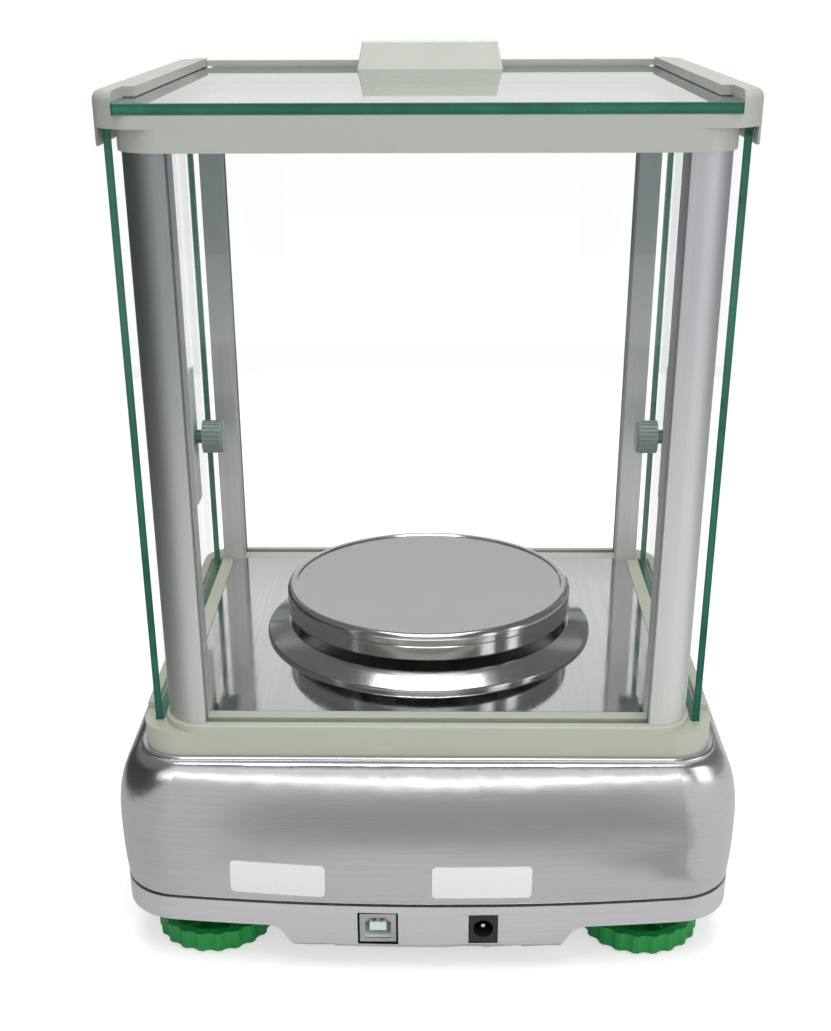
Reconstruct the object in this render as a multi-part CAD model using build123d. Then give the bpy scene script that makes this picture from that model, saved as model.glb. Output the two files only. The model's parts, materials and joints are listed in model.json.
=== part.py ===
from build123d import *
import math
import os

# Laboratory balance in a sheet steel case with a glass draft shield.
# Millimetres. +Z is up, the keys face -Y and the sockets face +Y.
# The origin is on the bench, under the middle of the case.

# Case
side_overhang = 12.1
panel_run = 99.1
frame_rear_gap = 7.1
widest_z = 43.0
cover_top_z = 77.0
seam_z = 26.0
shoulder_side = 11.1
shoulder_end = 4.6
lower_tuck = 1.0
bow_radius = 700.0
bow_radius_top = 8000.0
corner_radius = 20.5
corner_radius_top = 13.5
low_steps = 3
high_steps = 8
cover_wall = 1.5
cover_hem = 1.0
pad_height = 1.7
pad_margin = 2.2

# Lower tray
tray_wall = 1.2
tray_bottom_z = 9.0
tray_round = 1.9
tray_rim_z = 17.0
tray_reveal = 0.3
seam_gap = 0.4
lip_height = 3.0
lip_wall = 1.0
lip_clearance = 0.3
pocket_side_gap = 1.0
pocket_end_gap = 7.9
pocket_slope = 9.5
pocket_shift = 0.7
pocket_dip = 0.5
pocket_lean = 0.6

# Feet
foot_side_gap = 28.5
foot_end_gap = 30.0
wheel_radius = 20.0
wheel_bottom_z = 0.8
wheel_height = 6.9
wheel_floor = 2.4
wheel_rim = 2.6
scallop_count = 20
scallop_radius = 3.4
scallop_depth = 0.9
hub_radius = 6.5
hub_rise = 1.3
rib_count = 6
rib_wall = 1.4
rib_drop = 1.7
rib_root = 0.5
stud_radius = 3.0
stud_rise = 4.6
stud_fit = 0.05
stud_chamfer = 0.75
stud_hole_gap = 1.0
foot_pad_radius = 15.0
foot_pad_height = 1.6
spigot_radius = 2.0
spigot_height = 1.9
slip = 0.1

# Chassis
chassis_gap = 0.2
chassis_thickness = 4.0
chassis_side_gap = 9.5
chassis_end_gap = 11.4
boss_radius = 8.0
boss_height = 7.0
leg_radius = 5.0
leg_gap = 4.5
rear_leg_inset = 49.4
front_leg_inset = 15.4
board_notch_gap = 4.0
board_notch_front = 6.0
pillar_radius = 5.0
pillar_side_inset = 23.0
pillar_end_inset = 45.3

# Machine screws
screw_radius = 2.0
screw_head_radius = 3.6
screw_head_height = 2.4
screw_fit = 0.2
screw_bite = 8.0
hex_share = 0.8
head_chamfer = 0.4
head_cover = 0.3
head_depth = 3.4
hole_extra = 1.0
small_screw_radius = 1.5
small_head_radius = 2.7
small_head_height = 1.6
small_bite = 5.0

# Load cell
cell_length = 130.0
cell_width = 24.0
cell_height = 22.0
cell_seat = 2.0
cell_seat_length = 28.0
cell_hole_radius = 8.0
cell_hole_spacing = 28.0
cell_slot = 5.0
cell_screw_inset = 9.0
cell_screw_pitch = 12.0
carrier_thickness = 4.0
carrier_gap = 1.0
carrier_end_length = 26.0
stem_radius = 7.0
stem_neck_radius = 5.0
stem_neck_height = 12.0
lead_radius = 1.2
lead_x = -24.0
lead_out = 8.0
lead_bend = 3.5
lead_plug_width = 10.0
lead_plug_length = 6.0

# Main board and sockets
board_side = 46.0
board_length = 46.6
board_rear_gap = 4.6
board_gap = 0.35
board_thickness = 1.6
board_parts = [
    (-24, 20, 14, 14, 2.0),
    (6, 14, 10, 8, 2.6),
    (24, 26, 8, 12, 4.4),
    (-4, 34, 16, 6, 1.6),
    (32, 12, 7, 7, 8.0),
]
standoff_radius = 3.0
standoff_side_inset = 6.0
standoff_inset = 5.0
socket_drop = 0.5
socket_recess = 0.4
usb_cutout_gap = 0.7
jack_cutout_gap = 0.25
usb_x = 16.1
usb_width = 12.0
usb_height = 10.9
usb_depth = 16.0
usb_wall = 0.5
usb_opening_width = 8.6
usb_opening_height = 7.9
usb_opening_corner = 1.8
usb_tongue_width = 5.6
usb_tongue_height = 3.2
usb_cavity_depth = 9.0
jack_x = -18.7
jack_width = 9.2
jack_height = 10.6
jack_depth = 14.0
jack_bore_radius = 3.3
jack_bore_depth = 9.5
jack_pin_radius = 1.0
jack_pin_length = 8.0
jack_pin_round = 0.7
jack_root_radius = 1.3

# Stickers on the back
label_thickness = 0.25
label_corner = 1.5
label_tilt = 1.5
left_label_x = -18.0
left_label_rise = 9.5
left_label_width = 32.4
left_label_height = 12.2
right_label_x = 48.6
right_label_rise = 9.6
right_label_width = 31.0
right_label_height = 12.2

# Draft shield frames
frame_width = 178.0
frame_depth = 160.6
frame_corner = 12.5
base_frame_step = 1.4
base_frame_height = 7.7
rim_height = 2.5
rim_inset = 5.7
groove_side_gap = 0.5
wall_start = 17.5
opening_inset = 10.5
rear_bar = 10.7
front_bar = 12.7
ledge_width = 4.0
soft_edge = 0.6
tab_size = 12.0
tab_height = 4.0
chamber_height = 168.9
skirt_height = 5.9
flange_height = 3.3
lip_drop = 4.7
rail_height = 5.9
rail_width = 6.8
bar_height = 5.2
bar_depth = 3.4
overhang_reach = 3.2
overhang_thickness = 2.5
overhang_start = 19.3
rail_round = 2.6

# Panes
glass = 3.0
glass_chamfer = 0.4
glass_side_gap = 0.6
slot_gap = 0.2
slot_depth = 3.0
pane_inset = 4.5
door_rear_gap = 9.3
door_front_gap = 13.3
door_gap = 0.2
door_stop_gap = 1.0
lid_side_gap = 0.3
lid_front_gap = 1.4
lid_gap = 0.1

# Posts
post_setback = 1.5
post_depth = 13.0
post_side_gap = 1.0
rear_post_width = 13.0
front_post_width = 7.8
rear_post_round = 11.0
front_post_round = 7.0
post_edge = 0.6
post_slot_depth = 4.0
post_screw_shift = 1.0
post_screw_inset = 9.4

# Handles and knobs
handle_length = 50.0
handle_tip_length = 46.0
handle_proud = 9.0
handle_base = 11.0
handle_tip = 4.0
handle_edge = 0.7
handle_post_gap = 15.3
handle_rise = 56.7
lid_handle_front = 4.3
stud_hole_radius = 2.5
handle_stud_radius = 2.3
knob_radius = 6.0
knob_length = 7.6
knob_dome = 1.2
knob_grooves = 24
groove_radius = 0.45

# Floor plate, draft ring and pan
plate_thickness = 1.2
plate_gap = 0.2
stem_hole_radius = 12.0
ring_skirt = 7.5
ring_edge_height = 1.2
ring_height = 4.9
ring_sheet = 0.8
ring_slope = 0.92
ring_hub_radius = 26.0
pan_radius = 50.0
pan_rise = 17.7
pan_wall_height = 9.1
pan_sheet = 1.0
pan_rim_round = 2.0
pan_rim_width = 3.0
pan_dish = 0.5
pan_groove_z = 4.0
pan_groove = 0.35
pan_socket_radius = 9.0
pan_socket_height = 8.0
pan_seat_gap = 0.2
pan_bevel = 0.5
pan_hem_round = 0.7

# Control panel
ridge_gap = 24.0
panel_angle = 21.8
ridge_round = 3.0
bezel_side_gap = 18.5
bezel_length = 84.0
bezel_corner = 8.0
bezel_proud = 1.6
bezel_depth = 4.0
bezel_rim = 4.0
bezel_plate = 2.0
bezel_fit = 0.3
window_width = 118.0
window_length = 34.0
window_up = 16.0
window_thickness = 1.6
window_corner = 3.0
window_fit = 0.15
window_ledge = 3.0
module_height = 6.0
module_margin = 4.0
module_core_side = 5.0
module_core_end = 6.0
module_corner = 1.0
key_count = 4
key_width = 26.0
key_length = 13.0
key_pitch = 34.0
key_down = -22.0
key_proud = 1.2
key_flange = 1.2
key_flange_height = 1.2
key_gap = 0.3
key_corner = 3.0
key_travel = 0.8
switch_gap = 0.1
switch_size = 6.0
plunger_radius = 1.7
plunger_height = 1.0
spacer_radius = 2.0
spacer_inset = 2.0
key_board_depth = 8.0
key_board_margin = 6.0
key_board_corner = 2.0

# Bubble level
level_radius = 7.5
level_flange_radius = 9.5
level_flange = 1.2
level_depth = 8.0
level_floor = 1.5
vial_radius = 6.3
vial_proud = 0.3

# Bumpers
bumper_radius = 1.6
bumper_inset = 11.0

# Places that follow from the sizes above
frame_side = frame_width / 2
base_side = frame_side + base_frame_step
body_width = 2 * (base_side + side_overhang)
body_depth = frame_rear_gap + frame_depth + ridge_gap + panel_run
half_width = body_width / 2
half_depth = body_depth / 2
pad_z = cover_top_z + pad_height
frame_y = half_depth - frame_rear_gap - frame_depth / 2
frame_rear = frame_y + frame_depth / 2
frame_front = frame_y - frame_depth / 2
groove_z = pad_z + base_frame_height
rim_z = groove_z + rim_height
top_z = rim_z + chamber_height
flange_z = top_z + skirt_height
ledge_z = flange_z + flange_height
rail_z = ledge_z + rail_height
opening_rear = frame_rear - rear_bar
opening_front = frame_front + front_bar
rim_side = frame_side - rim_inset
opening_side = frame_side - opening_inset
rail_side = frame_side - rail_width
overhang_side = rail_side - overhang_reach
bumper_side = frame_side - bumper_inset
door_outer = rim_side + glass_side_gap + glass
outer_wall_side = door_outer + groove_side_gap
door_rear = frame_rear - door_rear_gap
door_front = frame_front + door_front_gap
post_outer = rim_side - post_side_gap
post_screw_side = post_outer - front_post_width / 2 - post_screw_shift
door_handle_axis = frame_front + post_setback + post_depth + handle_post_gap + knob_radius
door_handle_z = rim_z + handle_rise
wheel_top_z = wheel_bottom_z + wheel_height
hub_top_z = wheel_top_z + hub_rise
foot_side = half_width - foot_side_gap
foot_end = half_depth - foot_end_gap
pocket_side = foot_side - wheel_radius - pocket_side_gap - pocket_slope
pocket_end = foot_end - wheel_radius - pocket_end_gap - pocket_slope
chassis_z = tray_rim_z + tray_wall + chassis_gap
chassis_side = half_width - chassis_side_gap
chassis_end = half_depth - chassis_end_gap
chassis_top = chassis_z + chassis_thickness
stud_top_z = chassis_top + boss_height + stud_rise
leg_side = pocket_side - leg_radius - leg_gap
rear_leg_y = foot_end - rear_leg_inset
front_leg_y = front_leg_inset - foot_end
pillar_side = frame_side - pillar_side_inset
pillar_spread = frame_depth / 2 - pillar_end_inset
tray_top = seam_z - seam_gap
port_y = half_depth - lower_tuck
socket_z = (tray_bottom_z + seam_z) / 2 - socket_drop
board_z = socket_z + usb_height / 2 + board_gap
board_rear_y = port_y - board_rear_gap - tray_wall
board_front_y = board_rear_y - board_length
standoff_side = board_side - standoff_side_inset
ridge_y = frame_front - ridge_gap
level_gap = ridge_gap / 2
bezel_width = body_width - 2 * bezel_side_gap
bezel_from_ridge = panel_run / math.cos(math.radians(panel_angle)) / 2
ring_shoulder_radius = pan_radius
ring_radius = pan_radius + ring_skirt
pan_top_z = rim_z + pan_rise
cell_z = chassis_top + cell_seat
cell_top = cell_z + cell_height
far = 400.0
past = 1.0
match_gap = 0.01
soft_share = 0.6


def box_between(low, high):
    size = [b - a for a, b in zip(low, high)]
    middle = [(a + b) / 2 for a, b in zip(low, high)]
    return Pos(*middle) * Box(*size)


def post_at(x, y, radius, low, high):
    return Pos(x, y, (low + high) / 2) * Cylinder(radius, high - low)


def rounded_block(width, length, corner, low, high, x=0.0, y=0.0):
    outline = Pos(x, y, low) * RectangleRounded(width, length, corner)
    return extrude(outline, high - low)


def both_sides(shape):
    return shape + mirror(shape, Plane.YZ)


def four_corners(shape):
    pair = both_sides(shape)
    return pair + mirror(pair, Plane.XZ)


def screw(radius, head_radius, head_height, bite, x, y, z, up=True):
    # The bearing face of the head is at z, and the shank points up or down from it.
    turn = 0 if up else 180
    head = Pos(0, 0, -head_height / 2) * Cylinder(head_radius, head_height)
    head = chamfer(head.edges().group_by(Axis.Z)[0], head_chamfer)
    hexagon = RegularPolygon(radius * hex_share, 6)
    socket = Pos(0, 0, -head_height) * extrude(hexagon, head_height / 2)
    shank = Pos(0, 0, bite / 2) * Cylinder(radius, bite)
    return Pos(x, y, z) * Rot(turn, 0, 0) * (head - socket + shank)


def case_plan(z, half_w, half_d, bow, corner):
    # Two bowed ends, two straight sides and four tangent corner arcs.
    bow_y = half_d - bow
    cx = half_w - corner
    cy = bow_y + math.sqrt((bow - corner) ** 2 - cx ** 2)
    reach = bow / (bow - corner)
    tx = cx * reach
    ty = bow_y + (cy - bow_y) * reach
    middle = math.atan2(ty - cy, tx - cx) / 2
    mx = cx + corner * math.cos(middle)
    my = cy + corner * math.sin(middle)
    edges = [
        ThreePointArc((-tx, ty), (0, half_d), (tx, ty)),
        ThreePointArc((tx, ty), (mx, my), (half_w, cy)),
        Line((half_w, cy), (half_w, -cy)),
        ThreePointArc((half_w, -cy), (mx, -my), (tx, -ty)),
        ThreePointArc((tx, -ty), (0, -half_d), (-tx, -ty)),
        ThreePointArc((-tx, -ty), (-mx, -my), (-half_w, -cy)),
        Line((-half_w, -cy), (-half_w, cy)),
        ThreePointArc((-half_w, cy), (-mx, my), (-tx, ty)),
    ]
    return Pos(0, 0, z) * make_face(edges)


def seam_plan(z, shrink):
    inset = lower_tuck + shrink
    return case_plan(z, half_width - inset, half_depth - inset, bow_radius - inset,
                     corner_radius - inset)


def pillow(shrink, low_z):
    # The bulging case: tucked in below its widest height, rounded over above it.
    plans = []
    for step in range(low_steps):
        share = 1 - step / low_steps
        inset = lower_tuck * share ** 2 + shrink
        z = widest_z - (widest_z - low_z) * share
        plans.append(case_plan(z, half_width - inset, half_depth - inset, bow_radius - inset,
                               corner_radius - inset))
    for step in range(high_steps):
        turn = math.pi / 2 * step / (high_steps - 1)
        share = 1 - math.cos(turn)
        z = widest_z + (cover_top_z - shrink - widest_z) * math.sin(turn)
        bow = bow_radius + (bow_radius_top - bow_radius) * share
        corner = corner_radius + (corner_radius_top - corner_radius) * share
        plans.append(case_plan(z, half_width - shoulder_side * share - shrink,
                               half_depth - shoulder_end * share - shrink,
                               bow - shrink, corner - shrink))
    return loft(plans)


def panel_plane(depth):
    normal_y = -math.sin(math.radians(panel_angle))
    normal_z = math.cos(math.radians(panel_angle))
    origin = (0, ridge_y - normal_y * depth, cover_top_z - normal_z * depth)
    return Plane(origin=origin, x_dir=(1, 0, 0), z_dir=(0, normal_y, normal_z))


def above_panel(depth):
    return panel_plane(depth) * Pos(0, 0, far / 2) * Box(far, far * 2, far)


def panel_place():
    return Plane(panel_plane(0).origin, x_dir=(1, 0, 0), z_dir=panel_plane(0).z_dir) \
        * Pos(0, -bezel_from_ridge, 0)


# Case

def panel_opening(grow, low, high):
    return panel_place() * rounded_block(bezel_width - 2 * bezel_rim + 2 * grow,
                                         bezel_length - 2 * bezel_rim + 2 * grow,
                                         bezel_corner - bezel_rim + grow, low, high)


def make_upper_cover():
    outer = pillow(0, seam_z)
    outer = fillet(outer.edges().group_by(Axis.Z)[0], cover_hem)
    outer -= above_panel(0)
    panel_face = [f for f in outer.faces().filter_by(GeomType.PLANE)
                  if f.normal_at().dot(panel_plane(0).z_dir) > 0.9999]
    outer = fillet(panel_face[0].edges(), ridge_round)
    pad = rounded_block(2 * base_side + 2 * pad_margin, frame_depth + 2 * pad_margin,
                        frame_corner + pad_margin, cover_top_z - 3 * pad_height, pad_z, y=frame_y)
    pad = fillet(pad.edges().group_by(Axis.Z)[-1], pad_height * soft_share)
    cover = outer + pad
    cover -= pillow(cover_wall, seam_z) - above_panel(cover_wall)
    cover -= panel_opening(bezel_fit, -far / 10, far / 10)
    cover -= post_at(0, frame_y, stem_hole_radius, cover_top_z - 3 * cover_wall, pad_z)
    cover -= post_at(0, frame_front - level_gap, level_radius + bezel_fit, cover_top_z - 2 * cover_wall,
                     cover_top_z)
    for x, y in pillar_places():
        cover -= post_at(x, y, screw_radius + screw_fit, cover_top_z - 3 * cover_wall, pad_z)
    return cover


def slope_cut(grow, side):
    # Everything below a smooth step up from the deep floor to the foot recess.
    start = (pocket_side if side else pocket_end) - pocket_shift * grow
    low = tray_bottom_z + grow
    high = tray_rim_z + grow
    foot = (start - pocket_dip, low - pocket_dip)
    head = (start + pocket_slope, high)
    rise = Spline(foot, head, tangents=[(1, pocket_lean), (1, 0)])
    edges = [
        rise,
        Line(head, (far, high)),
        Line((far, high), (far, -far)),
        Line((far, -far), (foot[0], -far)),
        Line((foot[0], -far), foot),
    ]
    face = make_face(edges)
    if side:
        return extrude(Plane.XZ * face, -far)
    return extrude(Plane.YZ * face, far)


def foot_pockets(grow):
    return four_corners(slope_cut(grow, True) & slope_cut(grow, False))


def make_lower_tray():
    tray = extrude(seam_plan(tray_bottom_z, -tray_reveal), tray_top - tray_bottom_z)
    tray = fillet(tray.edges().group_by(Axis.Z)[0], tray_round)
    tray -= foot_pockets(0)
    hollow = extrude(seam_plan(tray_bottom_z + tray_wall, tray_wall - tray_reveal), tray_top)
    tray -= hollow - foot_pockets(tray_wall)
    lip_outer = cover_wall + lip_clearance
    joggle = extrude(seam_plan(tray_top - lip_wall, 0), lip_wall)
    joggle += extrude(seam_plan(tray_top - lip_wall, lip_outer), lip_wall + seam_gap + lip_height)
    joggle -= extrude(seam_plan(tray_top - 2 * lip_wall, lip_outer + lip_wall), far / 10)
    tray += joggle
    for x, y in leg_places():
        tray -= post_at(x, y, screw_radius + screw_fit, 0, chassis_z)
    for x, y in standoff_places():
        tray += post_at(x, y, standoff_radius, tray_bottom_z + tray_wall / 2, board_z)
        tray -= post_at(x, y, small_screw_radius, board_z - small_bite - hole_extra, board_z)
    for x, y in foot_places():
        tray -= post_at(x, y, stud_radius + stud_hole_gap, 0, chassis_z)
    front = port_y + tray_wall
    tray -= socket_block(usb_x, usb_width, usb_height, 4 * tray_wall, front, usb_cutout_gap)
    tray -= socket_block(jack_x, jack_width, jack_height, 4 * tray_wall, front, jack_cutout_gap)
    return tray


# Chassis, pillars and screws

def foot_places():
    return [(sx * foot_side, sy * foot_end) for sx in (-1, 1) for sy in (-1, 1)]


def leg_places():
    return [(sx * leg_side, y) for sx in (-1, 1) for y in (rear_leg_y, front_leg_y)]


def pillar_places():
    return [(sx * pillar_side, frame_y + sy * pillar_spread) for sx in (-1, 1) for sy in (-1, 1)]


def standoff_places():
    rear = board_rear_y - standoff_inset
    front = board_front_y + standoff_inset
    return [(sx * standoff_side, y) for sx in (-1, 1) for y in (front, rear)]


def post_places():
    rear = frame_rear - post_screw_inset
    front = frame_front + post_screw_inset
    return [(sx * post_screw_side, y) for sx in (-1, 1) for y in (rear, front)]


def make_chassis_plate():
    corner = corner_radius - (half_width - chassis_side)
    plate = rounded_block(2 * chassis_side, 2 * chassis_end, corner, chassis_z, chassis_top)
    notch_side = board_side + board_notch_gap
    plate -= box_between((-notch_side, board_front_y - board_notch_front, 0), (notch_side, far, far))
    for x, y in foot_places():
        plate += post_at(x, y, boss_radius, chassis_z, chassis_top + boss_height)
        plate -= post_at(x, y, stud_radius + stud_fit, 0, far / 4)
    for x, y in leg_places():
        plate += post_at(x, y, leg_radius, tray_bottom_z + tray_wall, chassis_top)
        plate -= post_at(x, y, screw_radius, 0, tray_bottom_z + tray_wall + screw_bite + hole_extra)
    seat_x = -cell_length / 2 + cell_seat_length / 2
    plate += Pos(seat_x, frame_y, chassis_top + cell_seat / 2) * Box(cell_seat_length, cell_width,
                                                                   cell_seat)
    for x in cell_screw_places():
        plate -= post_at(-x, frame_y, screw_radius + screw_fit, 0, far / 4)
    for x, y in pillar_places():
        plate -= post_at(x, y, screw_radius, 0, far / 4)
    return plate


def make_support_pillars():
    pillars = []
    for x, y in pillar_places():
        pillar = post_at(x, y, pillar_radius, chassis_top, cover_top_z - cover_wall)
        pillar += post_at(x, y, screw_radius, chassis_z, chassis_top)
        low = cover_top_z - cover_wall - screw_bite - hole_extra
        pillar -= post_at(x, y, screw_radius, low, pad_z)
        pillars.append(pillar)
    return Compound(children=pillars)


def machine_screw(x, y, z, bite, up=True):
    return screw(screw_radius, screw_head_radius, screw_head_height, bite, x, y, z, up)


def make_chassis_screws():
    screws = []
    for x, y in leg_places():
        screws.append(machine_screw(x, y, tray_bottom_z, tray_wall + screw_bite))
    for x, y in pillar_places():
        reach = tab_height + pad_height + cover_wall + screw_bite
        screws.append(machine_screw(x, y, pad_z + tab_height, reach, up=False))
    return Compound(children=screws)


def make_post_screws():
    screws = []
    for x, y in post_places():
        head_seat = pad_z + head_depth
        screws.append(machine_screw(x, y, head_seat, rim_z - head_seat + screw_bite))
        head_seat = ledge_z - screw_head_height - head_cover
        screws.append(machine_screw(x, y, head_seat, head_seat - top_z + screw_bite, up=False))
    return Compound(children=screws)


# Load cell and pan carrier

def cell_screw_places():
    outer = cell_length / 2 - cell_screw_inset
    return [outer, outer - cell_screw_pitch]


def make_load_cell():
    middle = cell_z + cell_height / 2
    cell = Pos(0, frame_y, middle) * Box(cell_length, cell_width, cell_height)
    for sx in (-1, 1):
        bore = Rot(90, 0, 0) * Cylinder(cell_hole_radius, cell_width * 2)
        cell -= Pos(sx * cell_hole_spacing / 2, frame_y, middle) * bore
    cell -= Pos(0, frame_y, middle) * Box(cell_hole_spacing, cell_width * 2, cell_slot)
    for x in cell_screw_places():
        deep = screw_bite + hole_extra
        cell -= post_at(-x, frame_y, screw_radius, cell_z, cell_z + deep)
        cell -= post_at(x, frame_y, screw_radius, cell_top - deep, cell_top)
    return cell


def make_load_cell_screws():
    screws = []
    for x in cell_screw_places():
        screws.append(machine_screw(-x, frame_y, chassis_z, chassis_thickness + cell_seat + screw_bite))
        top = cell_top + carrier_gap + carrier_thickness
        screws.append(machine_screw(x, frame_y, top, carrier_gap + carrier_thickness + screw_bite,
                                    up=False))
    return Compound(children=screws)


def make_pan_carrier():
    low = cell_top + carrier_gap
    high = low + carrier_thickness
    half = cell_width / 2
    carrier = box_between((-half, frame_y - half, low), (cell_length / 2, frame_y + half, high))
    end = cell_length / 2 - carrier_end_length
    carrier += box_between((end, frame_y - half, cell_top), (cell_length / 2, frame_y + half, low))
    neck_low = pan_seat_z() - stem_neck_height
    carrier += post_at(0, frame_y, stem_radius, high, neck_low)
    carrier += post_at(0, frame_y, stem_neck_radius, neck_low, pan_seat_z())
    for x in cell_screw_places():
        carrier -= post_at(x, frame_y, screw_radius + screw_fit, cell_top, high)
    return carrier


def make_load_cell_lead():
    # From the fixed end of the cell along the chassis to the front edge of the main board.
    low = board_z + board_thickness + 2 * lead_radius
    out_x = -cell_length / 2 - lead_out
    lane_y = (frame_y + cell_width / 2 + board_front_y) / 2
    start = (-cell_length / 2, frame_y, low)
    out = (out_x, frame_y, low)
    side = (out_x, lane_y, low)
    near = (lead_x, lane_y, low)
    end = (lead_x, board_front_y, low)
    path = FilletPolyline(start, out, side, near, end, radius=lead_bend)
    section = Plane(origin=start, z_dir=(-1, 0, 0)) * Circle(lead_radius)
    return sweep(section, path=path)


# Main board and sockets

def make_main_board():
    top = board_z + board_thickness
    board = box_between((-board_side, board_front_y, board_z), (board_side, board_rear_y, top))
    for x, along, width, length, height in board_parts:
        y = board_front_y + along
        board += box_between((x - width / 2, y - length / 2, top), (x + width / 2, y + length / 2,
                                                                  top + height))
    board += box_between((lead_x - lead_plug_width / 2, board_front_y, top),
                         (lead_x + lead_plug_width / 2, board_front_y + lead_plug_length,
                          top + 4 * lead_radius))
    for x, y in standoff_places():
        board -= post_at(x, y, small_screw_radius + slip, board_z - past, top + past)
    return board


def make_board_screws():
    screws = []
    for x, y in standoff_places():
        screws.append(screw(small_screw_radius, small_head_radius, small_head_height,
                            board_thickness + small_bite, x, y, board_z + board_thickness, up=False))
    return Compound(children=screws)


def socket_block(x, width, height, depth, front, grow=0.0):
    low = (x - width / 2 - grow, front - depth, socket_z - height / 2 - grow)
    high = (x + width / 2 + grow, front, socket_z + height / 2 + grow)
    return box_between(low, high)


def usb_opening(depth, front):
    # Two lower corners are cut off, because the socket hangs from the board above it.
    w = usb_opening_width / 2
    h = usb_opening_height / 2
    c = usb_opening_corner
    outline = Polyline((-w, h), (w, h), (w, c - h), (w - c, -h), (c - w, -h), (-w, c - h), close=True)
    face = Plane(origin=(usb_x, front, socket_z), x_dir=(1, 0, 0), z_dir=(0, -1, 0)) \
        * Rot(180, 0, 0) * make_face(outline)
    return extrude(face, depth, dir=(0, -1, 0))


def make_usb_shell():
    front = port_y - socket_recess
    shell = socket_block(usb_x, usb_width, usb_height, usb_depth, front)
    shell -= socket_block(usb_x, usb_width - 2 * usb_wall, usb_height - 2 * usb_wall, usb_depth,
                          front - usb_wall)
    shell -= usb_opening(usb_wall * 2, front + usb_wall / 2)
    return shell


def make_usb_insert():
    front = port_y - socket_recess - usb_wall
    insert = socket_block(usb_x, usb_width - 2 * usb_wall, usb_height - 2 * usb_wall,
                          usb_depth - usb_wall, front)
    insert -= usb_opening(usb_cavity_depth, front + usb_wall / 2)
    insert += socket_block(usb_x, usb_tongue_width, usb_tongue_height, usb_cavity_depth + past,
                           front - usb_wall)
    return insert


def make_dc_jack():
    front = port_y - socket_recess / 2
    jack = socket_block(jack_x, jack_width, jack_height, jack_depth, front)
    bore = Pos(jack_x, front - jack_bore_depth / 2, socket_z) * Rot(90, 0, 0) \
        * Cylinder(jack_bore_radius, jack_bore_depth)
    root = Pos(jack_x, front - jack_depth / 2, socket_z) * Rot(90, 0, 0) \
        * Cylinder(jack_root_radius, jack_depth)
    return jack - bore - root


def make_dc_jack_pin():
    front = port_y - socket_recess / 2
    pin = Pos(0, jack_pin_length / 2, 0) * Rot(90, 0, 0) * Cylinder(jack_pin_radius, jack_pin_length)
    pin = fillet(pin.edges().group_by(Axis.Y)[-1], jack_pin_round)
    root_length = jack_depth - jack_bore_depth
    pin += Pos(0, -root_length / 2, 0) * Rot(90, 0, 0) * Cylinder(jack_root_radius, root_length)
    return Pos(jack_x, front - jack_bore_depth, socket_z) * pin


def label(x, z, width, height, tilt, outer):
    face = Plane(origin=(x, 0, z), x_dir=(-1, 0, 0), z_dir=(0, 1, 0)) \
        * Rot(0, 0, tilt) * RectangleRounded(width, height, label_corner)
    return extrude(face, far, dir=(0, 1, 0)) & outer


# Draft shield frames

def frame_block(side, low, high, corner=frame_corner):
    return rounded_block(2 * side, frame_depth, corner, low, high, y=frame_y)


def frame_strip(low_x, high_x, low_y, high_y, low, high):
    strip = both_sides(box_between((low_x, low_y, low), (high_x, high_y, high)))
    return strip & frame_block(high_x, low, high)


def before_doors():
    return box_between((-far, -far, 0), (far, door_front - door_stop_gap, far))


def opening_block(low, high, inset=0.0):
    opening = box_between((-opening_side + inset, opening_front + inset, low),
                          (opening_side - inset, opening_rear - inset, high))
    rear_x = post_outer - rear_post_width - plate_gap - inset
    front_x = post_outer - front_post_width - plate_gap - inset
    rear_y = frame_rear - post_setback - post_depth - plate_gap - inset
    front_y = frame_front + post_setback + post_depth + plate_gap + inset
    opening -= both_sides(box_between((rear_x, rear_y, low - past), (far, far, high + past)))
    opening -= both_sides(box_between((front_x, -far, low - past), (far, front_y, high + past)))
    return opening


def pane_side(post_width):
    return post_outer - post_width + post_slot_depth - slot_gap


def pane_block(rear, low, high, grow=0.0):
    side = pane_side(rear_post_width if rear else front_post_width)
    middle = frame_rear - pane_inset if rear else frame_front + pane_inset
    return box_between((-side - grow, middle - glass / 2 - grow, low),
                       (side + grow, middle + glass / 2 + grow, high))


def make_bottom_frame():
    frame = frame_block(base_side, pad_z, groove_z)
    frame += frame_block(rim_side, groove_z, rim_z)
    wall_end = frame_rear - wall_start
    frame += frame_strip(outer_wall_side, base_side, -far, wall_end, groove_z, rim_z)
    frame += frame_block(base_side, groove_z, rim_z) & before_doors()
    frame = fillet(frame.edges().group_by(Axis.Z)[-1], soft_edge)
    frame -= opening_block(rim_z - plate_thickness, rim_z + past)
    frame -= opening_block(pad_z - past, rim_z, ledge_width)
    for sx in (-1, 1):
        for sy in (-1, 1):
            y = frame_y + sy * pillar_spread
            x = sx * pillar_side
            half = tab_size / 2
            edge = sx * (opening_side - ledge_width / 2)
            low_x, high_x = sorted((x - sx * half, edge))
            frame += box_between((low_x, y - half, pad_z), (high_x, y + half, pad_z + tab_height))
            frame -= post_at(x, y, screw_radius + screw_fit, pad_z - past, pad_z + tab_height + past)
    for rear in (True, False):
        frame -= pane_block(rear, rim_z - slot_depth, rim_z + past, slot_gap / 2)
    for x, y in post_places():
        frame -= post_at(x, y, screw_radius + screw_fit, pad_z - past, rim_z + past)
        frame -= post_at(x, y, screw_head_radius + screw_fit, pad_z - past, pad_z + head_depth)
    return frame


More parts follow.
